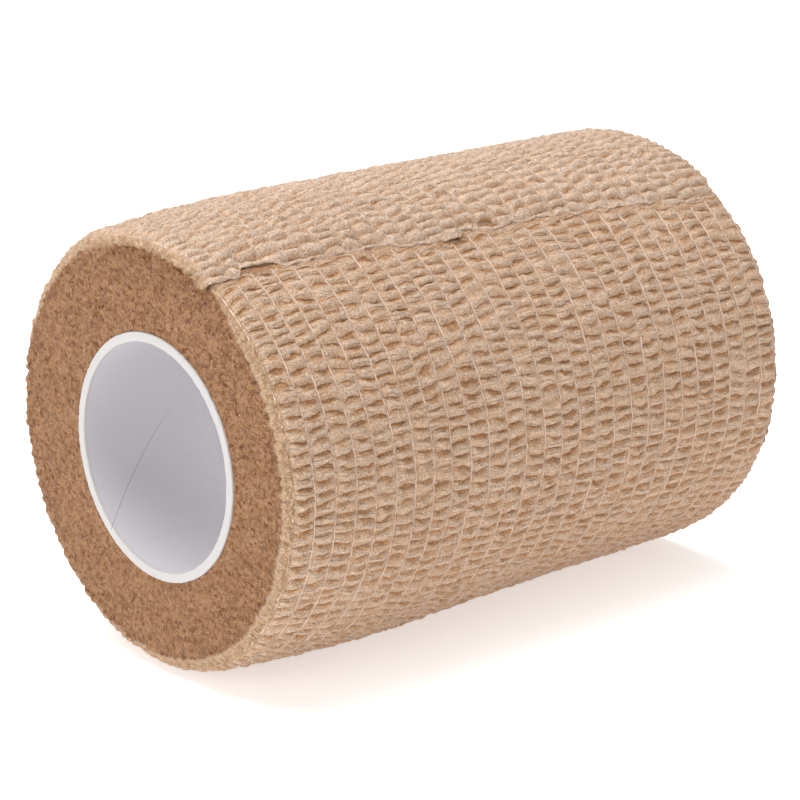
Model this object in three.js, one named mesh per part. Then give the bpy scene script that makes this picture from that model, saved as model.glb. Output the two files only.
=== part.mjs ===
// Cohesive bandage roll: a crinkled elastic strip wound on a white paper tube, with its loose end
// pressed down on the turn below. Millimetres, +Z up. The roll lies on its side along X, and its
// -X face is the one that was looked at. Angles are in degrees round the roll's axis: 0 is the
// top, and they grow towards -Y.
import * as THREE from "three";

// The wound strip
const stripWidth = 75; // from one face of the roll to the other
const rollRadius = 26.06; // halfway round the outermost turn, at mid length
const turnStep = 1.05; // what one turn adds to the radius
const endShift = -0.95; // how far along X the loose end lies from the turn below it
const shiftRun = { from: 285, to: 365 }; // where round the outermost turn the strip runs off like that
const edgeAngle = 31; // where the outermost turn ends, on average along its cut edge
const restingDepth = 0.4; // how deep the flat spot under the roll is pressed

// The winding draws in towards its two faces, and then rounds over into them
const nearEnd = { taper: 1.29, taperLength: 20.6, shoulderDepth: 2.2, shoulderLength: 1.2 };
const farEnd = { taper: 0.47, taperLength: 7.9, shoulderDepth: 1.4, shoulderLength: 1.0 };
const shoulderSteps = 4;

// Thin elastic threads run round the strip and hold it down in shallow grooves
const threads = { count: 26, first: -34.35, closePitch: 2.62, closeCount: 7, openPitch: 2.79 };
const grooveDepth = 0.2;

// The paper tube, a little off the middle of the roll
const tube = { outerRadius: 14.0, innerRadius: 13.2, length: 75.4, offsetY: -0.85, offsetZ: -0.2 };
const clearance = 0.3; // between pieces that touch

// The loose end: the last stretch of the outermost turn, free of the roll at its cut edge
const looseEnd = { start: -24, thickness: 1.2 };
// Its near side bends down over the shoulder: distance in from its side, and how far it drops there
const sideBend = [
  { inward: 0, drop: 1.0 },
  { inward: 0.45, drop: 0.3 },
  { inward: 1.2, drop: 0 },
];
const liftRun = 14; // degrees before the cut edge over which the lifted places rise
const seatRun = 12; // degrees past the cut edge over which the seat fades out
const wallLean = 0.6; // degrees by which the turn's step leans over the seat
// Cut edge along the width: its angle, and how far the cloth stands off the roll there
const cutEdge = [
  { x: -38.5, angle: 28.5, lift: 0.2 },
  { x: -36.5, angle: 30.7, lift: 0.1 },
  { x: -33.2, angle: 27.8, lift: 0.6 },
  { x: -30.5, angle: 29.5, lift: 0.7 },
  { x: -27.5, angle: 31.0, lift: 0.1 },
  { x: -22.5, angle: 31.0, lift: 0.35 },
  { x: -17.0, angle: 31.3, lift: 0.4 },
  { x: -13.0, angle: 33.0, lift: 0.1 },
  { x: -9.0, angle: 33.6, lift: 0.35 },
  { x: -6.8, angle: 33.2, lift: 0.15 },
  { x: -3.6, angle: 31.0, lift: 0.0 },
  { x: 1.5, angle: 33.5, lift: 0.05 },
  { x: 7.0, angle: 33.1, lift: 0.3 },
  { x: 12.0, angle: 33.5, lift: 0.1 },
  { x: 18.0, angle: 34.0, lift: 0.25 },
  { x: 24.0, angle: 35.3, lift: 0.05 },
  { x: 29.5, angle: 37.5, lift: 0.05 },
  { x: 38.0, angle: 39.3, lift: 0.1 },
];

// Facets
const turnPoints = 65;
const looseSteps = 14;
const tubeSegments = 64;

const halfWidth = stripWidth / 2;
const seatEnd = edgeAngle + seatRun;
const seatDepth = looseEnd.thickness + clearance - turnStep;

function smoothRise(from, to, value) {
  return THREE.MathUtils.smoothstep(value, from, to);
}

function pointAt(x, radius, angle, centre = { y: 0, z: 0 }) {
  const turned = THREE.MathUtils.degToRad(angle);
  return new THREE.Vector3(x, centre.y - radius * Math.sin(turned), centre.z + radius * Math.cos(turned));
}

// Row places along the width: each thread, and the puffed middle of the strip between two threads
function threadRows() {
  const rows = [];
  let x = threads.first;
  for (let i = 0; i < threads.count; i += 1) {
    const pitch = i < threads.closeCount ? threads.closePitch : threads.openPitch;
    rows.push({ x, groove: grooveDepth });
    if (i < threads.count - 1) rows.push({ x: x + pitch / 2, groove: 0 });
    x += pitch;
  }
  return rows;
}

// How far the barrel shape draws in at a place along the width
function barrelDrop(x) {
  const near = Math.max(0, 1 - (x + halfWidth) / nearEnd.taperLength);
  const far = Math.max(0, 1 - (halfWidth - x) / farEnd.taperLength);
  return nearEnd.taper * near ** 2 + farEnd.taper * far ** 2;
}

// The winding is a spiral: its radius grows all the way round the outermost turn
function spiralRadius(x, angle) {
  return rollRadius + turnStep * ((angle - edgeAngle) / 360 - 0.5) - barrelDrop(x);
}

// Under the loose end the winding lies a little deeper, so that the end is flush where it starts
function seatRadius(x, angle) {
  return spiralRadius(x, angle) - seatDepth * (1 - smoothRise(looseEnd.start, seatEnd, angle));
}

// The strip runs off along X towards its loose end
function shiftAt(angle) {
  return endShift * smoothRise(shiftRun.from, shiftRun.to, angle);
}

function cutEdgeAt(x) {
  const next = cutEdge.findIndex((row) => row.x >= x);
  if (next <= 0) return next < 0 ? cutEdge.at(-1) : cutEdge[0];
  const [a, b] = [cutEdge[next - 1], cutEdge[next]];
  const share = (x - a.x) / (b.x - a.x);
  return {
    angle: THREE.MathUtils.lerp(a.angle, b.angle, share),
    lift: THREE.MathUtils.lerp(a.lift, b.lift, share),
  };
}

// A quarter-round shoulder, as rows from the face inwards. The face stays flat, so it takes no shift
function shoulderRows(end, side) {
  const rows = [];
  for (let i = 0; i <= shoulderSteps; i += 1) {
    const turned = (i / shoulderSteps) * (Math.PI / 2);
    const inward = end.shoulderLength * (1 - Math.cos(turned));
    const drop = end.shoulderDepth * (1 - Math.sin(turned));
    rows.push({ x: side * (halfWidth - inward), groove: 0, drop, carried: Math.sqrt(i / shoulderSteps) });
  }
  return rows;
}

// Joins a closed loop of rings, each with the same number of points, into one ring-shaped body
function bodyFromRings(rings) {
  const count = rings[0].length;
  const positions = rings.flat().flatMap((point) => point.toArray());
  const index = [];
  rings.forEach((ring, row) => {
    const next = (row + 1) % rings.length;
    for (let i = 0; i < count; i += 1) {
      const j = (i + 1) % count;
      const [a, b, c, d] = [row * count + i, row * count + j, next * count + j, next * count + i];
      index.push(a, b, c, a, c, d);
    }
  });
  return geometryOf(positions, index);
}

// Joins two faces of a sheet, given as rows of points, and closes the four edges between them
function bodyFromFaces(outer, inner) {
  const rows = outer.length;
  const columns = outer[0].length;
  const positions = [...outer.flat(), ...inner.flat()].flatMap((point) => point.toArray());
  const at = (side, row, column) => side * rows * columns + row * columns + column;
  const index = [];
  const quad = (a, b, c, d) => index.push(a, b, c, a, c, d);
  for (let r = 0; r < rows - 1; r += 1) {
    for (let c = 0; c < columns - 1; c += 1) {
      quad(at(0, r, c), at(0, r, c + 1), at(0, r + 1, c + 1), at(0, r + 1, c));
      quad(at(1, r, c), at(1, r + 1, c), at(1, r + 1, c + 1), at(1, r, c + 1));
    }
    quad(at(0, r, 0), at(0, r + 1, 0), at(1, r + 1, 0), at(1, r, 0));
    quad(at(0, r, columns - 1), at(1, r, columns - 1), at(1, r + 1, columns - 1), at(0, r + 1, columns - 1));
  }
  for (let c = 0; c < columns - 1; c += 1) {
    quad(at(0, 0, c), at(1, 0, c), at(1, 0, c + 1), at(0, 0, c + 1));
    quad(at(0, rows - 1, c), at(0, rows - 1, c + 1), at(1, rows - 1, c + 1), at(1, rows - 1, c));
  }
  return geometryOf(positions, index);
}

function geometryOf(positions, index) {
  const geometry = new THREE.BufferGeometry();
  geometry.setAttribute("position", new THREE.Float32BufferAttribute(positions, 3));
  geometry.setIndex(index);
  geometry.computeVertexNormals();
  return geometry;
}

// The wound form: one turn of the spiral with the step that the loose end lies against
function makeWinding(restingPlane) {
  const sweep = 360 - wallLean;
  const angles = Array.from({ length: turnPoints }, (_, i) => {
    return looseEnd.start + (sweep * i) / (turnPoints - 1);
  });
  const rows = [
    ...shoulderRows(nearEnd, -1),
    ...threadRows().map((row) => ({ ...row, drop: 0, carried: 1 })),
    ...shoulderRows(farEnd, 1).reverse(),
  ];
  const pressed = (point) => point.setZ(Math.max(point.z, restingPlane));
  const boreCentre = { y: tube.offsetY, z: tube.offsetZ };
  const boreRing = (x) => angles.map((angle) => {
    return pointAt(x, tube.outerRadius + clearance, angle, boreCentre);
  });
  const outerRing = (row) => angles.map((angle) => {
    const x = row.x + row.carried * shiftAt(angle);
    return pressed(pointAt(x, seatRadius(row.x, angle) - row.drop - row.groove, angle));
  });
  return bodyFromRings([boreRing(-halfWidth), ...rows.map(outerRing), boreRing(halfWidth)]);
}

// The last stretch of the strip, from the step in the winding to its wavy cut edge
function makeLooseEnd() {
  const first = looseEnd.start + THREE.MathUtils.radToDeg(clearance / rollRadius);
  const rows = [
    ...sideBend.map((row) => ({ x: row.inward - halfWidth, groove: 0, drop: row.drop })),
    ...threadRows().map((row) => ({ ...row, drop: 0 })),
    { x: halfWidth, groove: 0, drop: 0 },
  ];
  const face = (side) => rows.map((row) => {
    const edge = cutEdgeAt(row.x);
    return Array.from({ length: looseSteps + 1 }, (_, i) => {
      const angle = THREE.MathUtils.lerp(first, edge.angle, i / looseSteps);
      const x = row.x + shiftAt(angle + 360);
      const lift = edge.lift * smoothRise(edge.angle - liftRun, edge.angle, angle);
      const inside = seatRadius(row.x, angle) + clearance + lift - row.drop;
      const thickness = looseEnd.thickness - row.groove;
      return pointAt(x, inside + side * thickness, angle);
    });
  });
  return bodyFromFaces(face(1), face(0));
}

// The paper tube, turned about its own axis
function makeTube() {
  const half = tube.length / 2;
  const profile = [
    new THREE.Vector2(tube.innerRadius, -half),
    new THREE.Vector2(tube.outerRadius, -half),
    new THREE.Vector2(tube.outerRadius, half),
    new THREE.Vector2(tube.innerRadius, half),
    new THREE.Vector2(tube.innerRadius, -half),
  ];
  return new THREE.LatheGeometry(profile, tubeSegments).rotateZ(Math.PI / 2);
}

function makeMesh(name, geometry, material) {
  const mesh = new THREE.Mesh(geometry, material);
  mesh.name = name;
  return mesh;
}

const crinkledCloth = new THREE.MeshStandardMaterial({ color: 0xbf9f85, roughness: 0.95, metalness: 0 });
const whitePaper = new THREE.MeshStandardMaterial({ color: 0xf0eeec, roughness: 0.6, metalness: 0 });

const bottomRadius = spiralRadius(0, 180);
const winding = makeMesh("bandage_roll", makeWinding(restingDepth - bottomRadius), crinkledCloth);
const loose = makeMesh("loose_end", makeLooseEnd(), crinkledCloth);
const core = makeMesh("core_tube", makeTube(), whitePaper);
core.position.set(0, tube.offsetY, tube.offsetZ);

// The origin is the middle of the flat spot's level, under the middle of the whole roll
const roll = new THREE.Group();
roll.add(winding, loose, core);
const box = new THREE.Box3().setFromObject(roll);
const middle = box.getCenter(new THREE.Vector3());
roll.position.set(-middle.x, -middle.y, -box.min.z);

export default roll;
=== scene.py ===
import bpy
import numpy as np
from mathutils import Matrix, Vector


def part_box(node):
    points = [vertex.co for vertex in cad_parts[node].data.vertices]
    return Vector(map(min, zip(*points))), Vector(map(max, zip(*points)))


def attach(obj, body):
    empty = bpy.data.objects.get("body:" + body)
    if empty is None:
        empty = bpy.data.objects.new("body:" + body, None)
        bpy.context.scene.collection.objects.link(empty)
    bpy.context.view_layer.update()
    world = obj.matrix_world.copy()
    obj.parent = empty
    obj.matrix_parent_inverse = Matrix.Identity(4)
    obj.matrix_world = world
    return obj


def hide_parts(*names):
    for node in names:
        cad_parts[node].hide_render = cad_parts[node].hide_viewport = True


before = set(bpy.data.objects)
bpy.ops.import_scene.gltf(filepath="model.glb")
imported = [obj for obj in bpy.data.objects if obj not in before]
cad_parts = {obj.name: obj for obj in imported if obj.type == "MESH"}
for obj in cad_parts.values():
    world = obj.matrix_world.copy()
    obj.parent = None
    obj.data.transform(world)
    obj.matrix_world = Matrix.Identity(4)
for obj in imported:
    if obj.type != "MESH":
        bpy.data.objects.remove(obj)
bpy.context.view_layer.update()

mm = 0.001

core = {
    "offset": (0.0, -0.85, -0.2),     # its axis against the middle of the roll
    "length": 75.4,
    "outer": 14.0,
    "wall": 1.05,
    "round": 0.1,
    "rough": 0.05,
    "segments": 224,
    "seam": {
        "start": -37.1, "startAngle": -138.8,
        "slope": 0.231,               # millimetres along the core for each degree round it
        "end": -23.6, "fade": 6.0, "width": 0.06,
    },
}
coreLow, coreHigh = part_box("core_tube")
coreMiddle = (coreLow + coreHigh) / 2
rollMiddle = coreMiddle / mm - Vector(core["offset"])

winding = {
    "halfWidth": 37.5,
    "radius": 26.06,                  # half way round the outermost turn
    "turnStep": 1.05,
    "turnShift": -0.775,              # how far the loose end lies along x from the turn below
    "turnStretch": -0.0033,           # and how much more for each millimetre of x
    "shiftRun": (285.0, 365.0),
    "edgeAngle": 31.0,
    "start": -24.0,
    "seatDepth": 0.15,
    "seatEnd": 43.0,
    "near": {"taper": 1.29, "run": 20.6, "depth": 2.2, "length": 1.2},
    "far": {"taper": 0.26, "run": 7.9, "depth": 1.15, "length": 0.85},
    "bore": 14.04,
    "carry": 1.1,                     # how far up a shoulder the turn's shift is full
    "step": 0.185,                    # along the turn, from one row of points to the next
    "faceSteps": 19,
    "shoulderSteps": 7,
    "splits": (8, 18),                # the threads that part its three pieces
}

threads = {
    "nearEdge": -36.85,
    "first": -34.35,
    "closePitch": 2.62,
    "closeCount": 7,
    "openPitch": 2.79,
    "count": 28,
    "lean": -0.5,                     # how far they lie to one side near the loose end
    "columns": (0.0, 0.07, 0.18, 0.31, 0.44, 0.56, 0.69, 0.82, 0.93),   # from one thread to the next
    "edgeColumns": (0.0, 0.03, 0.07, 0.12, 0.19, 0.28, 0.4, 0.52, 0.65, 0.8, 0.92),
    "width": 0.15,
    "height": 0.12,
    "step": 0.4,
    "fromCut": 2.0,                   # how far short of the cut edge the threads stop
    "under": 4.0,                     # and the degrees that they start back under the loose end
}

crinkle = {
    "pitch": 1.46,                    # from one ridge to the next along the turn
    "depths": (0.22, 0.43),
    "shoulder": 0.2,
    "threadDepth": 0.42,              # how far the threads pull the cloth in
    "wrinkle": 0.08,                  # the small wrinkles on the ridges
    "crest": 0.12,
    "pillow": 0.5,                    # how deep the furrows are between fully rounded ridges
    "puffs": (0.3, 0.75),             # how rounded the ridges are on the winding and on the loose end
    "fade": 0.6,                      # the cloth is plain this close to its cut edge
}

fibres = {"count": 36000, "lengths": (0.16, 0.6), "widths": (0.03, 0.055)}

swell = {"x": -14.0, "wide": 11.0, "height": 0.28, "from": 110.0, "full": 150.0}

looseEnd = {
    "thickness": 1.06,
    "edgeThickness": 0.36,
    "cornerThickness": 0.58,
    "nearDrop": 0.45,
    "taper": 4.0,
    "gap": 0.03,
    "overlap": 0.5,
    "liftRun": 14.0,
    "tuck": 0.26,                     # how far its cut edge sinks among the ridges below
    "nearBend": 1.0,
    "underBend": 0.95,
    "drawnIn": 1.05,                  # how far its near side slopes back to the face
    "farBend": 0.3,
    "blend": 16.0,                    # degrees over which its sides take up their own shape
    "steps": 160,                     # rows of points from its start to the cut edge
    "pale": 0.85,                     # its hollows get less painted shade than the winding's
    "flat": (0.075, 0.0255),          # its size laid flat, in metres
    "pocket": {"x": 1.45, "angle": 389.6, "wide": 1.0, "tall": 0.42, "depth": 0.5},
    # the cut edge along the width: place, angle, and how far it stands off the turn below
    "cut": (
        (-38.5, 26.8, 0.0), (-35.7, 28.6, 0.0), (-33.9, 28.6, 0.02), (-33.1, 26.6, 0.07),
        (-31.1, 26.6, 0.09), (-29.1, 27.2, 0.07), (-27.9, 29.4, 0.0), (-24.4, 29.6, 0.0),
        (-21.0, 29.6, 0.03), (-18.7, 29.6, 0.02), (-16.9, 29.9, 0.03), (-15.0, 30.1, 0.03),
        (-13.7, 30.5, 0.01), (-12.7, 31.7, 0.0), (-10.6, 32.1, 0.02), (-8.9, 32.2, 0.03),
        (-7.7, 32.1, 0.02), (-5.9, 32.6, 0.16), (-4.6, 33.4, 0.26), (-3.4, 30.2, 0.02),
        (-1.2, 31.0, 0.0), (1.5, 32.1, 0.0), (4.3, 31.2, 0.02), (6.3, 31.8, 0.02),
        (8.7, 31.6, 0.02), (10.2, 32.3, 0.0), (12.9, 32.1, 0.0), (14.7, 33.0, 0.0),
        (17.4, 32.4, 0.02), (20.3, 33.5, 0.0), (23.5, 33.9, 0.0), (27.4, 34.9, 0.0),
        (29.5, 36.2, 0.0), (32.8, 36.8, 0.0), (36.5, 37.2, 0.0),
    ),
}


def lerp(a, b, share):
    return a + (b - a) * share


def rise(start, end, value):
    share = np.clip((value - start) / (end - start), 0, 1)
    return share * share * (3 - 2 * share)


def softNoise(seed, a, b):        # -1 to 1, with one random value for each whole step of a and b
    table = np.random.default_rng(seed).uniform(-1, 1, (128, 256))
    a, b = np.broadcast_arrays(a, b)
    i = np.floor(a).astype(int)
    j = np.floor(b).astype(int)
    f = rise(0, 1, a - i)
    g = rise(0, 1, b - j)
    low = lerp(table[i % 128, j % 256], table[(i + 1) % 128, j % 256], f)
    high = lerp(table[i % 128, (j + 1) % 256], table[(i + 1) % 128, (j + 1) % 256], f)
    return lerp(low, high, g)


def cellValue(seed, a, b):        # 0 to 1, one value for each cell
    table = np.random.default_rng(seed).uniform(0, 1, (64, 256))
    return table[a.astype(int) % 64, b.astype(int) % 256]


# The wound form

def alongAt(angle):               # millimetres round the turn
    return (angle - winding["start"]) * np.pi / 180 * winding["radius"]


def shiftAt(x, angle):
    return (winding["turnShift"] + winding["turnStretch"] * x) * rise(*winding["shiftRun"], angle)


def fullShift(x):
    return shiftAt(x, winding["shiftRun"][1])


def spiralRadius(x, angle):
    near, far = winding["near"], winding["far"]
    half = winding["halfWidth"]
    nearDrop = near["taper"] * np.clip(1 - (x + half) / near["run"], 0, 1) ** 2
    farDrop = far["taper"] * np.clip(1 - (half - x) / far["run"], 0, 1) ** 2
    turn = (angle - winding["edgeAngle"]) / 360 - 0.5
    fuller = swell["height"] * np.exp(-((x - swell["x"]) / swell["wide"]) ** 2)
    fuller = fuller * rise(swell["from"], swell["full"], angle) * rise(300, 260, angle)
    return winding["radius"] + winding["turnStep"] * turn - nearDrop - farDrop + fuller


def seatRadius(x, angle):         # a little lower under the loose end, so that it starts flush
    seat = winding["seatDepth"] * (1 - rise(winding["start"], winding["seatEnd"], angle))
    return spiralRadius(x, angle) - seat


def shoulderDrop(x, end, side):
    inward = np.clip((winding["halfWidth"] - side * x) / end["length"], 0, 1)
    return end["depth"] * (1 - np.sqrt(1 - (1 - inward) ** 2))


def pointsAt(x, radius, angle, centre=(0.0, 0.0)):
    turned = np.radians(angle)
    x, radius, turned = np.broadcast_arrays(x, radius, turned)
    return np.stack([x, centre[0] - radius * np.sin(turned), centre[1] + radius * np.cos(turned)], -1)


# The elastic threads and the crinkles between them

def threadPlaces():
    places = [threads["nearEdge"]]
    x = threads["first"]
    for i in range(threads["count"] - 1):
        places.append(x)
        x += threads["closePitch"] if i < threads["closeCount"] else threads["openPitch"]
    return np.array(places)


def placeAt(across, angle):       # across counts the threads from the near side
    base = np.interp(across, np.arange(threads["count"]), threadPlaces())
    pinned = rise(0, 4, across) * rise(0, 3, threads["count"] - 1 - across)
    sway = 0.2 * softNoise(3, across / 5.5, angle / 27) + 0.08 * softNoise(4, across * 1.3, angle / 7)
    lean = threads["lean"] * (rise(95, 41, angle) + rise(285, 345, angle)) * rise(25, 5, base)
    return base + (sway + lean) * (0.12 + 0.88 * pinned)


def ridgePhase(across, angle):    # counts the ridges along each strip between two threads
    along = alongAt(angle)
    strip = np.floor(across)
    t = across - strip
    bow = 1 - 4 * (t - 0.5) ** 2
    phase = along / crinkle["pitch"] + cellValue(10, strip, strip)
    phase = phase + 0.55 * softNoise(11, strip * 0.45, along / 7)
    phase = phase + 0.22 * softNoise(12, strip * 0.83, along / 3)
    phase = phase + 0.34 * softNoise(13, strip + 40, along / 2.6) * (t - 0.5)
    phase = phase + (0.08 + 0.18 * softNoise(14, strip + 9, along / 2.1)) * bow
    phase = phase + 0.15 * softNoise(15, across * 2.6, along / 0.9)
    return phase + 0.06 * softNoise(9, across * 6, along / 0.45)


def wrinklePhase(across, angle):  # counts the small wrinkles on the ridges
    along = alongAt(angle)
    phase = along / 0.62 + 0.6 * softNoise(28, np.floor(across) * 0.9, along / 1.7)
    return phase + 0.5 * softNoise(29, across * 1.5, along / 1.1)


def crinkleAt(across, angle):
    # returns how far the cloth stands out, and its painted shade:
    # 0 on a ridge, up to 1 on its flanks and 2 in a hollow, where shade falls
    along = alongAt(angle)
    strip = np.floor(across)
    t = across - strip
    phase = ridgePhase(across, angle)
    ridge = np.floor(phase)
    c = phase - ridge
    depth = lerp(*crinkle["depths"], cellValue(16, strip, ridge))
    depth = depth * lerp(0.6, 1, rise(0.0, 0.15, cellValue(26, strip, ridge)))
    middle = 0.5 + 0.32 * (cellValue(17, strip, ridge) - 0.5)
    half = 0.3 + 0.18 * cellValue(18, strip, ridge)
    lens = np.clip(1 - ((t - middle) / half) ** 2, 0, 1) ** 0.5
    spread = (0.25 + 0.21 * cellValue(19, strip, ridge)) * lens
    wall = rise(0.0, 0.13, c)
    reach = lerp(0.3, 1, rise(0.0, 0.2, t) * rise(1.0, 0.8, t))
    up = np.clip((c - spread) / (0.72 - spread), 0, 1)
    climb = (1 - up) ** 2 * (1 + 0.6 * up)
    groove = lerp(crinkle["shoulder"], depth * lerp(0.75, 1, lens), wall) * climb
    groove = groove + crinkle["shoulder"] * np.clip((c - 0.6) / 0.4, 0, 1) ** 2
    puff = lerp(*crinkle["puffs"], ownShape(angle))
    notch = rise(0.0, 0.09, c) * rise(0.4, 0.12, c) * lens
    pillow = crinkle["pillow"] * np.abs(2 * c - 1) ** 2.2 + 0.5 * depth * notch
    groove = lerp(groove, pillow, puff)
    edge = np.abs(2 * t - 1)
    lumps = 0.15 * softNoise(21, across * 1.9, along / 1.2)
    lumps = lumps + 0.07 * softNoise(20, across * 5.2, along / 0.42)
    crease = np.abs(2 * (wrinklePhase(across, angle) % 1) - 1) ** 3
    crease = crease * rise(-0.5, 0.5, softNoise(30, across * 1.1, along / 1.9))
    lumps = lumps - crinkle["wrinkle"] * crease
    height = crinkle["crest"] + lumps * (1 - 0.6 * edge ** 4) - groove * reach
    height = height - crinkle["threadDepth"] * edge ** 3
    # painted shade in the hollow under each ridge
    hollowShade = wall * rise(spread + 0.3, spread - 0.1, c) * rise(0.0, 0.5, lens)
    hollowShade = lerp(hollowShade, notch, puff) * rise(0.08, 0.32, depth)
    # a painted shadow line under each ridge's lip
    line = rise(0.0, 0.06, c) * rise(0.24, 0.1, c) * reach * rise(0.12, 0.4, depth)
    # painted shade on the flanks, near the threads and in the creases
    flankShade = np.clip(groove * reach / 0.38 + 0.7 * edge ** 6 + 0.4 * crease, 0, 1)
    return height, flankShade * 0.9 + np.maximum(hollowShade, 0.6 * line)


# Meshes from rows of points

def gridFaces(rows, columns, closeRows, closeColumns, bands=2):
    # returns the faces and their corners' places on a flat map, where the turn lies in bands side by side
    r = np.arange(rows if closeRows else rows - 1)
    c = np.arange(columns if closeColumns else columns - 1)
    r, c = (part.ravel() for part in np.meshgrid(r, c, indexing="ij"))
    r2, c2 = (r + 1) % rows, (c + 1) % columns
    faces = np.stack([r * columns + c, r * columns + c2, r2 * columns + c2, r2 * columns + c], -1)
    band = np.floor(c / (c.max() + 1) * bands)
    up = np.stack([c, c + 1, c + 1, c], -1) / (c.max() + 1) * bands - band[:, None]
    across = np.stack([r, r, r + 1, r + 1], -1) / (r.max() + 1)
    corners = np.stack([(band[:, None] + 0.005 + 0.97 * across) / bands, 0.003 + 0.985 * up], -1)
    return faces, corners


def signedVolume(points, faces):
    first, *others = (points[faces[:, k]] for k in range(faces.shape[1]))
    return sum(np.einsum("ij,ij->i", first, np.cross(a, b)).sum() for a, b in zip(others, others[1:])) / 6


def meshFrom(name, points, faces, corners, masks, caps=()):
    points = points.reshape(-1, 3)
    inward = signedVolume(points, faces) < 0
    if inward:
        faces, corners = faces[:, ::-1], corners[:, ::-1]
    mesh = bpy.data.meshes.new(name)
    placed = (points + np.array(rollMiddle)) * mm
    lids = [list(cap[::-1] if inward else cap) for cap in caps]
    mesh.from_pydata(placed.tolist(), [], faces.tolist() + lids)
    flatMap = mesh.uv_layers.new(name="OFBake")
    spare = np.full((sum(len(lid) for lid in lids), 2), 0.9995)
    places = np.concatenate([corners.reshape(-1, 2), spare]).astype(np.float32)
    flatMap.data.foreach_set("uv", places.ravel())
    for key, values in masks.items():
        mask = mesh.attributes.new(key, "FLOAT", "POINT")
        mask.data.foreach_set("value", np.ascontiguousarray(values, np.float32).ravel())
    mesh.validate()
    mesh.shade_smooth()
    mesh.set_sharp_from_angle(angle=1.4)
    piece = bpy.data.objects.new(name, mesh)
    bpy.context.scene.collection.objects.link(piece)
    print(name, len(faces) * (faces.shape[1] - 2) + len(lids), "triangles")
    return piece


def pressFlat(points):            # the flat spot that the roll rests on
    floor = -rollMiddle.z
    soft = 0.16
    above = points[..., 2] - floor - soft
    points[..., 2] = np.where(above < 0, floor + soft * np.exp(np.minimum(above, 0) / soft), points[..., 2])
    return points


# The winding, in three pieces that meet under a thread

def turnAngles():
    end = winding["start"] + 360 - 0.4
    count = int(alongAt(end) / winding["step"])
    return np.linspace(winding["start"], end, count)


def boreRing(x, angles):
    return pointsAt(x, winding["bore"], angles, core["offset"][1:])


def clothRows(columns, angles):
    across, angle = np.meshgrid(columns, angles, indexing="ij")
    x = placeAt(across, angle)
    height, hollowShade = crinkleAt(across, angle)
    drop = shoulderDrop(x, winding["near"], -1) + shoulderDrop(x, winding["far"], 1)
    cutAngle, lift = cutAt(x)
    height = lerp(height, -0.1, rise(cutAngle + 1.8, cutAngle + 0.6, angle))
    # a painted shadow on the turn just below the loose end's cut edge, fullest where the edge is lifted
    cutEdgeShadow = rise(cutAngle + 2.8, cutAngle + 1.4, angle) * np.clip(lift / 0.05, 0.5, 1)
    points = pointsAt(x + shiftAt(x, angle), seatRadius(x, angle) - drop + height, angle)
    return points, np.maximum(hollowShade, 2.0 * cutEdgeShadow), ridgePhase(across, angle), wrinklePhase(across, angle)


def rimOffset(side, angles):      # the face's own ragged edge
    along = alongAt(angles)
    return 0.16 * softNoise(33, side, along / 1.3) + 0.14 * softNoise(34, side, along / 0.55)


def shoulderRows(end, side, angles):
    # from the face up to the edge thread
    edge = 0 if side < 0 else threads["count"] - 1
    edgeX = placeAt(np.full_like(angles, edge), angles)
    last = np.arccos(np.clip(1 - (winding["halfWidth"] - side * edgeX) / end["length"], -1, 1))
    share = np.linspace(0, 1, winding["shoulderSteps"], endpoint=False)[:, None]
    turned = share * last
    inward = end["length"] * (1 - np.cos(turned))
    drop = end["depth"] * (1 - np.sin(turned))
    carried = rise(0, 1, (end["depth"] - drop) / winding["carry"])
    x = side * (winding["halfWidth"] - inward)
    across = np.broadcast_to(edge + side * 0.5 * (1 - share), turned.shape)
    turn = np.broadcast_to(angles, turned.shape)
    bump, hollowShade = crinkleAt(across, turn)
    along = alongAt(angles)
    lumps = 0.8 * bump + 0.12 + 0.08 * softNoise(31, share * 2, along / 0.75)
    lumps = (lumps + 0.1 * softNoise(32, share * 3, along / 0.33)) * rise(0, 0.3, share)
    rim = rimOffset(side, angles) * rise(1, 0, share)
    radius = seatRadius(x, angles) - drop + rim + lumps * np.sin(turned)
    x = x + shiftAt(x, angles) * carried + side * lumps * np.cos(turned)
    # the hollows' painted shade fades out down the shoulder
    hollowShade = hollowShade * rise(0.35, 0.9, share) * 0.75
    return pointsAt(x, radius, angles), hollowShade, ridgePhase(across, turn), wrinklePhase(across, turn)


def faceRows(end, side, angles):
    outer = seatRadius(side * winding["halfWidth"], angles) - end["depth"] + rimOffset(side, angles)
    rim = pointsAt(side * winding["halfWidth"], outer, angles)
    hole = boreRing(side * winding["halfWidth"], angles)
    share = np.linspace(0, 1, winding["faceSteps"], endpoint=False)[:, None, None]
    rows = lerp(hole, rim, share)
    felt = 0.07 * softNoise(41, rows[..., 1] / 0.5, rows[..., 2] / 0.5)
    felt = felt + 0.05 * softNoise(42, rows[..., 1] / 1.3, rows[..., 2] / 1.3)
    rows[..., 0] += side * felt * rise(0, 0.06, share[..., 0])
    return rows


def endRows(end, side, angles):
    # one side face with its shoulder: points, hollow shade, fold, wrinkle, felt and rim
    none = np.zeros(len(angles))
    edge = shoulderRows(end, side, angles)
    face = faceRows(end, side, angles)
    count = len(edge[0])
    shares = [i / count for i in range(count)]
    hollowShade, fold, wrinkle = ([none] * len(face) + list(layer) for layer in edge[1:])
    reach = 0.55 + 0.45 * rise(45, 25, angles) + 0.18 * rise(180, 220, angles) * rise(315, 285, angles)
    felt = [none + 1] * len(face) + [rise(reach, reach - 0.5, share) for share in shares]
    rim = [none] * len(face) + [none + rise(0.15, 0.6, share) for share in shares]
    return [*face, *edge[0]], hollowShade, fold, wrinkle, felt, rim


def innerRows(cut, angles):       # the wall between two of the pieces
    hole = boreRing(cut[:, 0].mean(), angles)
    none = [np.zeros(len(angles))] * 3
    return [lerp(hole, cut, share) for share in (0.0, 0.5, 0.99)], none, none, none, none, none


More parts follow.
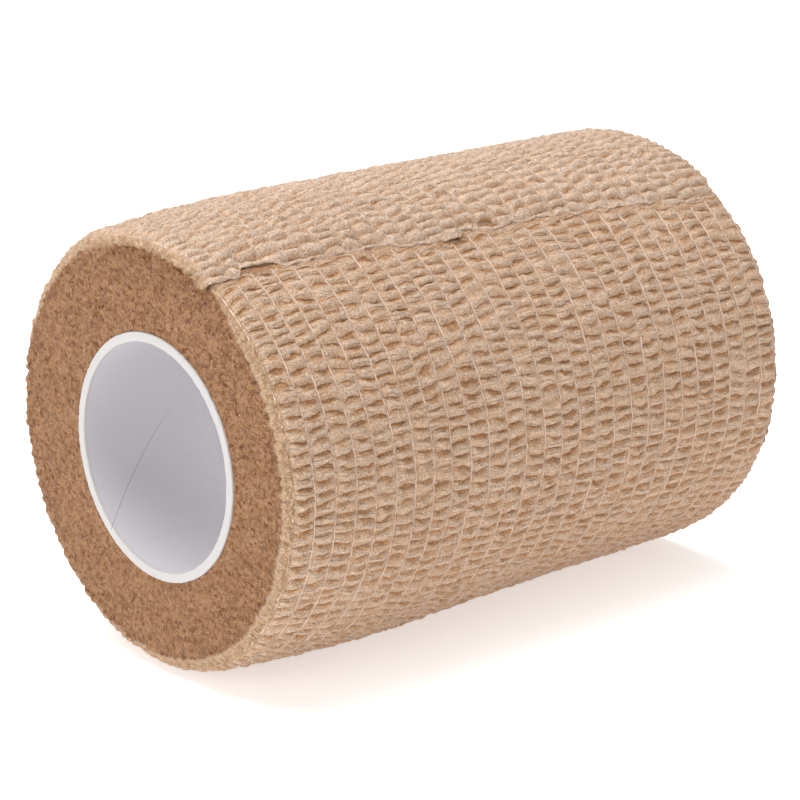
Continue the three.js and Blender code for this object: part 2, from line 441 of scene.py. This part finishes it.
def windingPiece(name, first, last):
    angles = turnAngles()
    columns = []
    for strip in range(first, last):
        shares = threads["edgeColumns"] if strip == 0 else threads["columns"]
        columns += [strip + share for share in shares]
    columns.append(last)
    cloth = [list(layer) for layer in clothRows(np.array(columns, float), angles)]
    none = np.zeros(len(angles))
    rims = [none + rise(0.1, 0.0, column) for column in columns]
    layers = [*cloth, [none] * len(columns), rims]
    near = endRows(winding["near"], -1, angles) if first == 0 else innerRows(cloth[0][0], angles)
    atFar = last == threads["count"] - 1
    far = endRows(winding["far"], 1, angles) if atFar else innerRows(cloth[0][-1], angles)
    layers = [np.array(before + middle + after[::-1]) for before, middle, after in zip(near, layers, far)]
    faces, corners = gridFaces(len(layers[0]), len(angles), True, True)
    masks = dict(zip(("hollowShade", "fold", "wrinkle", "felt", "rim"), layers[1:]))
    return meshFrom(name, pressFlat(layers[0]), faces, corners, masks)


# The loose end, a sheet with the same crinkles

def cutAt(x):
    places, angles, lifts = np.array(looseEnd["cut"]).T
    ragged = 0.35 * softNoise(50, x / 1.4, 0) + 0.3 * softNoise(51, x / 0.8, 0)
    ragged = ragged + 0.25 * softNoise(52, x / 0.35, 0)
    return np.interp(x, places, angles) + ragged, np.interp(x, places, lifts)


def looseFaces(x, angle):
    # returns the radii of its inner and its outer face, still smooth
    under = angle - 360
    cutAngle, lift = cutAt(x + shiftAt(x, angle))
    toCut = np.radians(cutAngle - under) * winding["radius"]
    lifted = lift * rise(looseEnd["liftRun"], 0, cutAngle - under)
    edge = lerp(looseEnd["cornerThickness"], looseEnd["edgeThickness"], rise(-36.5, -34.0, x))
    thickness = lerp(edge, looseEnd["thickness"], rise(0, looseEnd["taper"], toCut))
    blend = ownShape(angle)
    near, far = winding["near"], winding["far"]
    nearCurve = shoulderDrop(x, near, -1) / near["depth"]
    farCurve = shoulderDrop(x, far, 1) / far["depth"]
    bend = nearCurve * lerp(near["depth"], looseEnd["nearBend"], blend)
    bend = bend + farCurve * lerp(far["depth"], looseEnd["farBend"], blend)
    tuck = looseEnd["tuck"] * rise(1.6, 0.2, toCut) * rise(0.25, 0.0, lift)
    inner = seatRadius(x, under) + looseEnd["gap"] + lifted - tuck
    innerBend = nearCurve * lerp(near["depth"], looseEnd["underBend"], blend) + farCurve * 0.2
    lower = looseEnd["nearDrop"] * rise(-8, -30, x) * blend * rise(1.5, 8.0, toCut)
    return inner - innerBend, inner + thickness - bend - lower


def ovalPocket(x, angle):
    pocket = looseEnd["pocket"]
    along = np.radians(angle - pocket["angle"]) * winding["radius"]
    away = np.hypot((x - pocket["x"]) / pocket["wide"], along / pocket["tall"])
    return rise(1.2, 0.75, away)


def looseColumns():
    edge = threads["count"] - 1
    columns = [-0.33, -0.25, -0.16, -0.08, *threads["edgeColumns"]]
    for strip in range(1, edge):
        columns += [strip + share for share in threads["columns"]]
    return np.array([*columns, edge, edge + 0.08, edge + 0.16, edge + 0.2])


def ownShape(angle):              # 0 where it leaves the winding, 1 where its sides have their own shape
    start = winding["start"] + 360
    return rise(start, start + looseEnd["blend"], angle)


def loosePlace(across, angle):    # past the edge threads it runs straight on
    edge = threads["count"] - 1
    inside = placeAt(np.clip(across, 0, edge), angle)
    past = np.minimum(across, 0) * lerp(2.1, 2.9, ownShape(angle))
    return inside + past + np.maximum(across - edge, 0) * threads["openPitch"]


def looseShift(x, angle):         # at its start it leaves the face as the winding's shoulder does
    near = winding["near"]
    carried = rise(0, 1, (near["depth"] - shoulderDrop(x, near, -1)) / winding["carry"])
    return shiftAt(x, angle) * lerp(carried, 1, ownShape(angle))


def looseGrid(columns):
    # returns where its points lie: across the threads, round the turn, along the axis, and short of the cut
    start = winding["start"] + 360 - np.degrees(looseEnd["overlap"] / winding["radius"])
    share = np.linspace(0, 1, looseEnd["steps"])[None, :]
    endPlace = loosePlace(columns[:, None], start)
    endAngle = cutAt(endPlace + fullShift(endPlace))[0] + 360
    angle = start + (endAngle - start) * share
    across = np.broadcast_to(columns[:, None], angle.shape)
    x = loosePlace(across, angle)
    toCut = np.radians(endAngle - angle) * winding["radius"]
    return np.where(across < 0, 1.5 * across, across), angle, x, toCut


def looseSkin(across, angle, x, toCut):
    # returns the radii of its two faces, with their crinkles, and the painted shade of the hollows
    height, hollowShade = crinkleAt(across, angle)
    inner, outer = looseFaces(x, angle)
    plain = rise(0.0, crinkle["fade"], toCut)
    lumps = 0.17 * softNoise(53, across * 2.1, toCut / 1.1) + 0.08 * softNoise(54, across * 5, toCut / 0.4)
    height = lerp(lumps, height, plain)
    oval = ovalPocket(x, angle)
    height = height - looseEnd["pocket"]["depth"] * oval
    # painted shade in the hollows, weaker on the loose end, and in the oval pocket
    hollowShade = np.maximum(hollowShade * plain * looseEnd["pale"], 1.9 * oval)
    start = angle[0, 0]
    outer = outer + height + 0.02 * rise(start + 3.0, start + 1.0, angle)
    rounding = 1 - np.sqrt(1 - (1 - np.clip(toCut / 0.5, 0, 1)) ** 2)
    inner = np.minimum(inner + 0.5 * np.minimum(height, 0), outer - 0.08) + 0.04 * rounding
    return inner, outer - 0.2 * rounding, hollowShade


def looseMasks(across, angle, x, back, hollowShade):
    own = ownShape(angle)
    shoulder = rise(0.4, 0.95, back) * (1 - own)
    rim = np.maximum(rise(-37.0, -37.4, x), rise(37.0, 37.4, x))
    fold, wrinkle = ridgePhase(across, angle), np.full_like(hollowShade, 0.5)
    none = np.zeros((2, angle.shape[1]))       # for the two rows of its near side
    # the paler rim colour reaches down the near side: the rim's own colour, partly painted light against
    # the shadow under the overhang
    feltSide = lerp(1, np.array([[0.75], [0.4]]), own[0])
    return {
        "hollowShade": np.concatenate([hollowShade, hollowShade * 0, none]),
        "fold": np.concatenate([fold, fold[::-1], none + fold[0]]),
        "wrinkle": np.concatenate([wrinkle, wrinkle[::-1], none + wrinkle[0]]),
        "felt": np.concatenate([shoulder, hollowShade * 0 + 0.75, feltSide]),
        "rim": np.concatenate([rim, rim[::-1], none + 1]),
        # where the painted sheen goes on the loose end
        "paintedSheen": np.concatenate([own, own, none]),
    }


def makeLooseEnd():
    columns = looseColumns()
    across, angle, x, toCut = looseGrid(columns)
    inner, outer, hollowShade = looseSkin(across, angle, x, toCut)
    places = x + looseShift(x, angle)
    back = shoulderDrop(x, winding["near"], -1) / winding["near"]["depth"]
    drawnIn = places + looseEnd["drawnIn"] * back * ownShape(angle)
    above, below = pointsAt(places, outer, angle), pointsAt(drawnIn, inner, angle)[::-1]
    sides = sideRows(below[-1], above[0], angle[0])
    rows = np.concatenate([above, below, sides])
    masks = looseMasks(across, angle, x, back, hollowShade)
    count = looseEnd["steps"]
    faces, corners = gridFaces(len(rows), count, True, False)
    ends, endCorners = endFaces(len(columns), 2 * len(columns), count)
    faces, corners = np.concatenate([faces, ends]), np.concatenate([corners, endCorners])
    turn = [0, *(count * k for k in range(2 * len(columns) - 1, len(rows)))]
    caps = [tuple(turn), tuple(k + count - 1 for k in reversed(turn))]
    return meshFrom("loose_end_cloth", rows, faces, corners, masks, caps)


def sideRows(low, high, angles):  # its near side, lumpy as the ridges end there
    along = alongAt(angles)
    rows = []
    for k, share in enumerate((0.35, 0.7)):
        row = lerp(low, high, share)
        lumps = 0.1 + 0.09 * softNoise(56, k, along / 0.8) + 0.07 * softNoise(57, k, along / 0.35)
        row[:, 0] -= lumps * ownShape(angles)
        rows.append(row)
    return np.array(rows)


def endFaces(half, rows, count):  # the sheet's start and its cut edge
    k = np.arange(half - 1)
    opposite = rows - 1 - k
    start = np.stack([k * count, (k + 1) * count, (opposite - 1) * count, opposite * count], -1)
    cut = np.stack([k * count, opposite * count, (opposite - 1) * count, (k + 1) * count], -1) + count - 1
    low, high = k / half, (k + 1) / half
    startCorners = np.stack([low, high, high, low], -1)
    cutCorners = np.stack([low, low, high, high], -1)
    side = np.array([0.9885, 0.9885, 0.9915, 0.9915]) + 0 * startCorners
    cutSide = np.array([0.993, 0.999, 0.999, 0.993]) + 0 * cutCorners
    corners = np.concatenate([np.stack([side, startCorners], -1), np.stack([cutSide, cutCorners], -1)])
    return np.concatenate([start, cut]), corners


# Elastic threads, laid over the ridges

def outermost(across, angle):     # the place along the axis, and the radius, of the cloth that shows
    x = placeAt(across, angle)
    height, _ = crinkleAt(across, angle)
    drop = shoulderDrop(x, winding["near"], -1) + shoulderDrop(x, winding["far"], 1)
    onLoose = looseFaces(x, angle)[1]
    radius = np.where(angle > winding["start"] + 360, onLoose, seatRadius(x, angle) - drop)
    return x + shiftAt(x, angle), radius + height


def cutAbove(across):             # the angle of the cut edge at this place across the width
    seat = np.interp(across, np.arange(threads["count"]), threadPlaces())
    return cutAt(seat + fullShift(seat))[0]


def threadPath(number):
    across = float(number)
    cut = cutAbove(across)
    first = cut - threads["under"]
    last = cut + 360 - np.degrees(threads["fromCut"] / winding["radius"])
    count = int(np.radians(last - first) * winding["radius"] / threads["step"])
    angle = np.linspace(first, last, count)
    x, radius = outermost(np.full_like(angle, across), angle)
    loose = angle > winding["start"] + 360
    buried = np.where(loose, 0.05 + 0.1 * softNoise(64, across, angle / 3.1), -0.05)
    buried = np.where(number == 0, buried + 0.06 + 0.07 * softNoise(65, 0, angle / 4.3), buried)
    wave = 0.05 * softNoise(63, across, angle / 1.7)
    return angle, x + wave, radius - buried + 0.06 * softNoise(62, across, angle / 2.1)


def makeThreads():
    points, faces, corners, caps = [], [], [], []
    first = 0
    for number in range(threads["count"]):
        angle, x, radius = threadPath(number)
        count = len(angle)
        ends = np.minimum(np.arange(count), np.arange(count)[::-1])
        fine = rise(0, 3, ends + 0.3)
        wide = threads["width"] / 2 * (1 + 0.25 * softNoise(61, number, angle / 2.3)) * fine
        left = pointsAt(x - wide, radius - 0.03, angle)
        top = pointsAt(x, radius + threads["height"] * fine - 0.03, angle)
        right = pointsAt(x + wide, radius - 0.03, angle)
        points.append(np.stack([left, top, right]).reshape(-1, 3))
        oneFaces, oneCorners = gridFaces(3, count, True, False, 1)
        faces.append(oneFaces + first)
        corners.append((oneCorners + np.array([number, 0])) * np.array([1 / threads["count"], 1]))
        caps += [(first, first + count, first + 2 * count)]
        caps += [(first + count - 1, first + 3 * count - 1, first + 2 * count - 1)]
        first += 3 * count
    points = pressFlat(np.concatenate(points))
    return meshFrom("elastic_threads", points, np.concatenate(faces), np.concatenate(corners), {}, caps)


# Loose fibres that stand on the cloth, each a fine three-sided spike

def fibreRoots(random, count):
    edge = threads["count"] - 1
    across = random.uniform(0.02, edge - 0.02, count)
    cut = cutAbove(across)
    angle = lerp(cut + 0.6, cut + 359.2, random.uniform(0, 1, count))
    x, radius = outermost(across, angle)
    return x, radius, angle


def spikes(roots, tips, wide):    # the points and faces of all the spikes
    along = tips - roots
    along = along / np.linalg.norm(along, axis=1, keepdims=True)
    sideways = np.cross(along, [0.31, 0.77, 0.56])
    sideways = sideways / np.linalg.norm(sideways, axis=1, keepdims=True)
    upward = np.cross(along, sideways)
    turned = np.radians([0, 120, 240])
    corners = [roots + wide[:, None] * (np.cos(k) * sideways + np.sin(k) * upward) for k in turned]
    points = np.stack([*corners, tips], 1)
    pattern = np.array([[0, 1, 3], [1, 2, 3], [2, 0, 3], [0, 2, 1]])
    return points, (np.arange(len(roots))[:, None, None] * 4 + pattern).reshape(-1, 3)


def spikeCorners(count):          # each spike has its own cell of the flat map
    side = int(np.ceil(np.sqrt(count)))
    strips = [[(k / 3, 0.0), (k / 3 + 0.28, 0.0), (k / 3 + 0.14, 0.8)] for k in range(3)]
    cell = np.array([*strips, [(0.3, 0.84), (0.6, 0.84), (0.45, 0.94)]])
    number = np.arange(count)
    origins = np.stack([number % side, number // side], -1)[:, None, None, :]
    return ((origins + 0.03 + cell * 0.94) / side).reshape(-1, 3, 2)


def makeFibres():
    random = np.random.default_rng(71)
    count = fibres["count"]
    x, radius, angle = fibreRoots(random, count)
    length = lerp(*fibres["lengths"], random.uniform(0, 1, count) ** 2)
    lean = np.radians(random.uniform(10, 75, count))
    way = random.uniform(0, 2 * np.pi, count)
    tipAngle = angle + np.degrees(length * np.sin(lean) * np.sin(way) / winding["radius"])
    roots = pointsAt(x, radius - 0.04, angle)
    tips = pointsAt(x + length * np.sin(lean) * np.cos(way), radius + length * np.cos(lean), tipAngle)
    points, faces = spikes(roots, tips, lerp(*fibres["widths"], random.uniform(0, 1, count)) / 2)
    points = pressFlat(points)
    return meshFrom("loose_fibres", points, faces, spikeCorners(count), {})


# The paper core

def makeCore():
    bpy.ops.object.select_all(action="DESELECT")
    bpy.ops.mesh.primitive_cylinder_add(
        vertices=core["segments"], radius=core["outer"] * mm, depth=core["length"] * mm,
        end_fill_type="NOTHING", location=coreMiddle, rotation=(0, np.pi / 2, 0),
    )
    tube = bpy.context.object
    tube.name = "paper_core"
    bpy.ops.object.transform_apply(location=True, rotation=True, scale=True)
    wall = tube.modifiers.new("wall", "SOLIDIFY")
    wall.thickness = core["wall"] * mm
    wall.offset = -1
    bpy.ops.object.modifier_apply(modifier="wall")
    rounding = tube.modifiers.new("round", "BEVEL")
    rounding.width = core["round"] * mm
    rounding.segments = 2
    rounding.angle_limit = 1.0
    bpy.ops.object.modifier_apply(modifier="round")
    roughenEnds(tube)
    bpy.ops.object.shade_smooth_by_angle(angle=0.8)
    print("paper_core", len(tube.data.polygons) * 2, "triangles")
    return tube


def roughenEnds(tube):            # a cut paper edge is a little ragged
    bpy.ops.object.mode_set(mode="EDIT")
    bpy.ops.mesh.select_mode(type="VERT")
    for side in (-1, 1):
        bpy.ops.mesh.select_all(action="SELECT")
        place = (coreMiddle.x + side * (core["length"] / 2 - 0.5) * mm, 0, 0)
        bpy.ops.mesh.bisect(plane_co=place, plane_no=(1, 0, 0))
    bpy.ops.mesh.select_all(action="DESELECT")
    bpy.ops.object.mode_set(mode="OBJECT")
    inside = (core["length"] / 2 - 0.3) * mm
    for vertex in tube.data.vertices:
        vertex.select = abs(vertex.co.x - coreMiddle.x) > inside
    bpy.ops.object.mode_set(mode="EDIT")
    bpy.ops.transform.vertex_random(offset=core["rough"] * mm, seed=5)
    bpy.ops.object.mode_set(mode="OBJECT")


# Materials

class Wire:
    # an output socket: sums with it add their own Math nodes
    def __init__(self, paint, socket):
        self.paint = paint
        self.socket = socket

    def math(self, operation, *others):
        return self.paint.node("ShaderNodeMath", {"operation": operation}, dict(enumerate((self, *others))))

    def __add__(self, other):
        return self.math("ADD", other)

    def __radd__(self, other):
        return self.math("ADD", other)

    def __mul__(self, other):
        return self.math("MULTIPLY", other)

    def __rmul__(self, other):
        return self.math("MULTIPLY", other)

    def __sub__(self, other):
        return self.math("SUBTRACT", other)

    def __rsub__(self, other):
        return self.paint.node("ShaderNodeMath", {"operation": "SUBTRACT"}, {0: other, 1: self})

    def ramp(self, low, high):      # 0 below low, 1 above high
        settings = {"interpolation_type": "SMOOTHSTEP"}
        return self.paint.node("ShaderNodeMapRange", settings, {0: self, 1: low, 2: high, 3: 0.0, 4: 1.0})

    def nearHalf(self, low, high):  # 1 within low of a half, 0 further than high from it
        return 1 - (self - 0.5).math("ABSOLUTE").ramp(low, high)


class Paint:
    def __init__(self, name):
        self.material = bpy.data.materials.new(name)
        self.material.use_nodes = True
        self.tree = self.material.node_tree
        self.tree.nodes.clear()
        self.place = self.node("ShaderNodeTexCoord", {}, {}, "Object")

    def node(self, kind, settings, sockets, output=0):
        made = self.tree.nodes.new(kind)
        for key, value in settings.items():
            setattr(made, key, value)
        for key, value in sockets.items():
            if isinstance(value, Wire):
                self.tree.links.new(value.socket, made.inputs[key])
            else:
                made.inputs[key].default_value = value
        return Wire(self, made.outputs[output])

    def noise(self, size, detail=2.0, rough=0.5, stretch=(1, 1, 1)):
        # size is that of a blotch, in millimetres
        place = self.node("ShaderNodeMapping", {}, {"Vector": self.place, "Scale": stretch})
        sockets = {"Vector": place, "Scale": 1 / (size * mm), "Detail": detail, "Roughness": rough}
        return self.node("ShaderNodeTexNoise", {}, sockets)

    def mask(self, name):
        return self.node("ShaderNodeAttribute", {"attribute_name": name}, {}, "Fac")

    def mix(self, share, a, b):
        return self.node("ShaderNodeMix", {"data_type": "RGBA"}, {0: share, 6: a, 7: b}, 2)

    def bump(self, height, distance, strength=1.0, under=None):
        sockets = {"Height": height, "Distance": distance * mm, "Strength": strength}
        if under is not None:
            sockets["Normal"] = under
        return self.node("ShaderNodeBump", {}, sockets)

    def finish(self, **values):
        shader = self.node("ShaderNodeBsdfPrincipled", {}, values)
        out = self.tree.nodes.new("ShaderNodeOutputMaterial")
        self.tree.links.new(shader.socket, out.inputs["Surface"])
        return self.material


def colour(red, green, blue):     # screen values from 0 to 255
    values = [v / 255 for v in (red, green, blue)]
    return [((v + 0.055) / 1.055) ** 2.4 if v > 0.04045 else v / 12.92 for v in values] + [1.0]


def ridgeColour(paint, unevenShade, grain, patches, hairs):
    ridge = paint.mix(patches.ramp(0.35, 0.65), colour(196, 163, 135), colour(209, 180, 156))
    # painted shade on the ridges' flanks
    ridge = paint.mix(unevenShade.ramp(0.0, 0.8) * 0.85, ridge, colour(184, 143, 107))
    ridge = paint.mix(grain.ramp(0.5, 0.7) * 0.25, ridge, colour(164, 128, 100))
    ridge = paint.mix(grain.ramp(0.5, 0.34) * 0.35, ridge, colour(226, 200, 178))
    ridge = paint.mix(hairs.ramp(0.3, 1.0) * 0.5, ridge, colour(230, 207, 189))
    dots = paint.noise(0.34, 1).ramp(0.65, 0.7) * patches.ramp(0.66, 0.44)
    return paint.mix(dots * 0.55, ridge, colour(136, 102, 80))


# painted shade: the darker, browner colour of the hollows, where shade falls
def hollowShadeColour(paint, clumps, grain, strands):
    deep = paint.mix(clumps.ramp(0.4, 0.6), colour(160, 114, 74), colour(184, 141, 102))
    deep = paint.mix(grain.ramp(0.52, 0.66) * 0.35, deep, colour(136, 92, 56))
    return paint.mix(strands * 0.35, deep, colour(204, 166, 128))


def rimColour(paint, clumps, grain):
    rim = paint.mix(clumps.ramp(0.35, 0.65), colour(168, 131, 98), colour(198, 167, 136))
    return paint.mix(grain.ramp(0.5, 0.66) * 0.3, rim, colour(160, 122, 90))


def feltColour(paint, pile, patches, strands):      # of the side faces, matted from the turns' edges
    specks = paint.noise(0.56, 1.5, 0.5, (1.0, 0.7, 1.0))
    felt = paint.mix(pile.ramp(0.36, 0.64), colour(155, 113, 78), colour(114, 75, 43))
    felt = paint.mix(patches.ramp(0.4, 0.7) * 0.35, felt, colour(116, 79, 48))
    felt = paint.mix(specks.ramp(0.58, 0.65) * 0.8, felt, colour(92, 44, 12))
    return paint.mix(strands * 0.45, felt, colour(192, 154, 120))


def clothPaint():
    paint = Paint("crinkled cloth")
    hollowShade, felt, rim, paintedSheen = (paint.mask(name) for name in ("hollowShade", "felt", "rim", "paintedSheen"))
    foldPlace, wrinklePlace = paint.mask("fold"), paint.mask("wrinkle")
    grain = paint.noise(0.2, 1.5, 0.6)
    clumps = paint.noise(0.5, 3, 0.6)
    patches = paint.noise(1.7, 2)
    broad = paint.noise(13, 2)
    pile = paint.noise(0.45, 3, 0.6, (1.0, 0.66, 1.0))
    hairs = paint.noise(0.75, 1).nearHalf(0.0, 0.045)
    strands = paint.noise(0.55, 1, 0.5, (1.0, 1.3, 0.8)).nearHalf(0.0, 0.05)
    # the painted shade of the hollows and flanks, with ragged edges
    unevenShade = hollowShade + (clumps - 0.5) * 0.8
    shown = (hollowShade + (patches - 0.5) * 1.2).ramp(0.5, 1.3)
    # a painted shadow line under each ridge's overhanging lip
    fold = (foldPlace + 0.41).math("FRACT").nearHalf(0.02, 0.09)
    # a painted highlight along each ridge's crest
    lipHighlight = (foldPlace + 0.56).math("FRACT").nearHalf(0.02, 0.1)
    # painted shade in the small wrinkles' creases
    wrinkle = (wrinklePlace + 0.5).math("FRACT").nearHalf(0.03, 0.13)
    wrinkle = wrinkle * (patches + (clumps - 0.5) * 0.5).ramp(0.45, 0.6)
    ridge = ridgeColour(paint, unevenShade, grain, patches, hairs + strands)
    # the hollows are painted in shade
    cloth = paint.mix(unevenShade.ramp(0.85, 1.6), ridge, hollowShadeColour(paint, clumps, grain, strands))
    # the painted highlight, left off the loose end
    cloth = paint.mix(lipHighlight * shown * (1 - paintedSheen) * 0.45, cloth, colour(230, 206, 184))
    cloth = paint.mix(wrinkle * 0.45, cloth, colour(138, 100, 70))
    # a painted sheen that pales the loose end's ridges
    cloth = paint.mix(paintedSheen * unevenShade.ramp(0.9, 0.1) * 0.25, cloth, colour(222, 200, 184))
    # the painted shadow line
    cloth = paint.mix(fold * shown * 0.5, cloth, colour(120, 76, 42))
    cloth = paint.mix(rim, cloth, rimColour(paint, clumps, grain))
    matted = (felt + (clumps - 0.5) * 0.6).ramp(0.2, 0.8)
    cloth = paint.mix(matted, cloth, feltColour(paint, pile, patches, strands))
    cloth = paint.mix(broad.ramp(0.3, 0.7) * 0.1, cloth, colour(176, 134, 100))
    glint = paint.noise(0.26, 1).ramp(0.79, 0.83)
    cloth = paint.mix(glint, cloth, colour(248, 246, 242))
    bump = paint.bump((hairs + strands + grain - wrinkle) * (1 - 0.6 * felt), 0.12, 0.8)
    bump = paint.bump(clumps * (1 - felt) + pile * felt, 0.24, 0.8, bump)
    return paint.finish(**{
        "Base Color": cloth, "Roughness": 0.95, "Specular IOR Level": 0.22, "Normal": bump,
        "Sheen Weight": 0.15, "Sheen Roughness": 0.35, "Sheen Tint": (1.0, 0.96, 0.92, 1.0),
    })


def threadPaint():
    paint = Paint("elastic thread")
    shade = paint.noise(0.9, 2)
    thread = paint.mix(shade, colour(200, 172, 150), colour(232, 210, 194))
    return paint.finish(**{"Base Color": thread, "Roughness": 0.6, "Specular IOR Level": 0.3})


def fibrePaint():
    paint = Paint("loose fibre")
    fibre = paint.mix(paint.noise(1.1, 2).ramp(0.35, 0.65), colour(214, 186, 162), colour(244, 230, 214))
    return paint.finish(**{"Base Color": fibre, "Roughness": 0.8, "Specular IOR Level": 0.2})


def paperPaint():
    paint = Paint("white paper")
    seam = core["seam"]
    apart = {axis: paint.node("ShaderNodeSeparateXYZ", {}, {0: paint.place}, axis) for axis in "XYZ"}
    x = (apart["X"] - rollMiddle.x * mm) * (1 / mm)
    y = (apart["Y"] - coreMiddle.y) * (1 / mm)
    z = (apart["Z"] - coreMiddle.z) * (1 / mm)
    angle = (y * -1.0).math("ARCTAN2", z) * (180 / np.pi)
    radius = (y * y + z * z).math("SQRT")
    offset = (x - seam["start"]) - (angle - seam["startAngle"]) * seam["slope"]
    line = 1 - offset.math("ABSOLUTE").ramp(seam["width"] * 0.5, seam["width"] * 1.5)
    line = line * x.ramp(seam["end"], seam["end"] - seam["fade"]) * radius.ramp(13.5, 13.3)
    grain = paint.noise(0.4, 3, 0.6)
    cutEdge = x.ramp(-37.2, -37.3)
    # painted shading: the bore is painted darker towards its near opening and lighter deeper in
    inside = paint.mix(x.ramp(-38, -12), colour(200, 196, 200), colour(250, 247, 251))
    paper = paint.mix(cutEdge, inside, colour(191, 187, 185))
    paper = paint.mix(grain.ramp(0.4, 0.7) * 0.12, paper, colour(205, 200, 200))
    paper = paint.mix(line * 0.55, paper, colour(96, 86, 92))
    bump = paint.bump(grain, 0.04, 0.3)
    return paint.finish(**{
        "Base Color": paper, "Roughness": 0.6, "Specular IOR Level": 0.25, "Normal": bump,
    })


def dress(piece, material):
    piece.data.materials.clear()
    piece.data.materials.append(material)
    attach(piece, "root")


cloth = clothPaint()
bounds = [0, *winding["splits"], threads["count"] - 1]
names = ("winding_near", "winding_middle", "winding_far")
for name, first, last in zip(names, bounds, bounds[1:]):
    piece = windingPiece(name, first, last)
    dress(piece, cloth)
    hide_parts("bandage_roll")

loose = makeLooseEnd()
dress(loose, cloth)
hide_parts("loose_end")

dress(makeThreads(), threadPaint())
dress(makeFibres(), fibrePaint())

tube = makeCore()
dress(tube, paperPaint())
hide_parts("core_tube")


# Floor, light and camera

studio = {
    "floor": 4.0,
    "glow": 0.5,                      # the floor is a lit white table
    "world": 0.445,
    "air": (1.0, 0.985, 0.975, 1.0),
    "top": {"place": (-0.1, 0.14, 0.92), "size": 0.8, "power": 11.3, "shade": (0.95, 0.98, 1.0)},
    "front": {"place": (-0.9, -0.2, 0.36), "size": 0.5, "power": 3.0},
    "side": {"place": (0.85, -0.4, 0.1), "size": 0.5, "power": 0.5},
    "camera": {
        "lens": 121.15, "from": (-202.54, -227.50, 91.47),        # from the middle of the roll
        "azimuth": -41.5507, "elevation": 16.9511,
    },
}


def makeStage():
    bpy.ops.object.select_all(action="DESELECT")
    bpy.ops.mesh.primitive_plane_add(size=studio["floor"])
    floor = bpy.context.object
    floor.name = "floor"
    paint = Paint("pale floor")
    floor.data.materials.append(paint.finish(**{
        "Base Color": colour(240, 240, 240), "Roughness": 0.9,
        "Emission Color": (1, 1, 1, 1), "Emission Strength": studio["glow"],
    }))


def makeLight(name, place, size, power, shade=(1.0, 1.0, 1.0)):
    light = bpy.data.lights.new(name, "AREA")
    light.energy = power
    light.size = size
    light.color = shade
    lamp = bpy.data.objects.new(name, light)
    lamp.location = place
    lamp.rotation_euler = (-Vector(place)).to_track_quat("-Z", "Y").to_euler()
    bpy.context.scene.collection.objects.link(lamp)


def makeCamera():
    view = studio["camera"]
    data = bpy.data.cameras.new("camera")
    data.lens = view["lens"]
    data.sensor_width = 36.0
    data.clip_start = 0.01
    camera = bpy.data.objects.new("camera", data)
    camera.location = (rollMiddle + Vector(view["from"])) * mm
    camera.rotation_euler = (np.radians(90 - view["elevation"]), 0, np.radians(view["azimuth"]))
    bpy.context.scene.collection.objects.link(camera)
    bpy.context.scene.camera = camera


def makeWorld():
    world = bpy.data.worlds.new("studio")
    world.use_nodes = True
    background = world.node_tree.nodes["Background"]
    background.inputs["Color"].default_value = studio["air"]
    background.inputs["Strength"].default_value = studio["world"]
    bpy.context.scene.world = world
    bpy.context.scene.view_settings.view_transform = "Standard"


makeStage()
makeLight("top light", **studio["top"])
makeLight("front light", **studio["front"])
makeLight("side light", **studio["side"])
makeCamera()
makeWorld()
print("floor, lights and camera are in place")
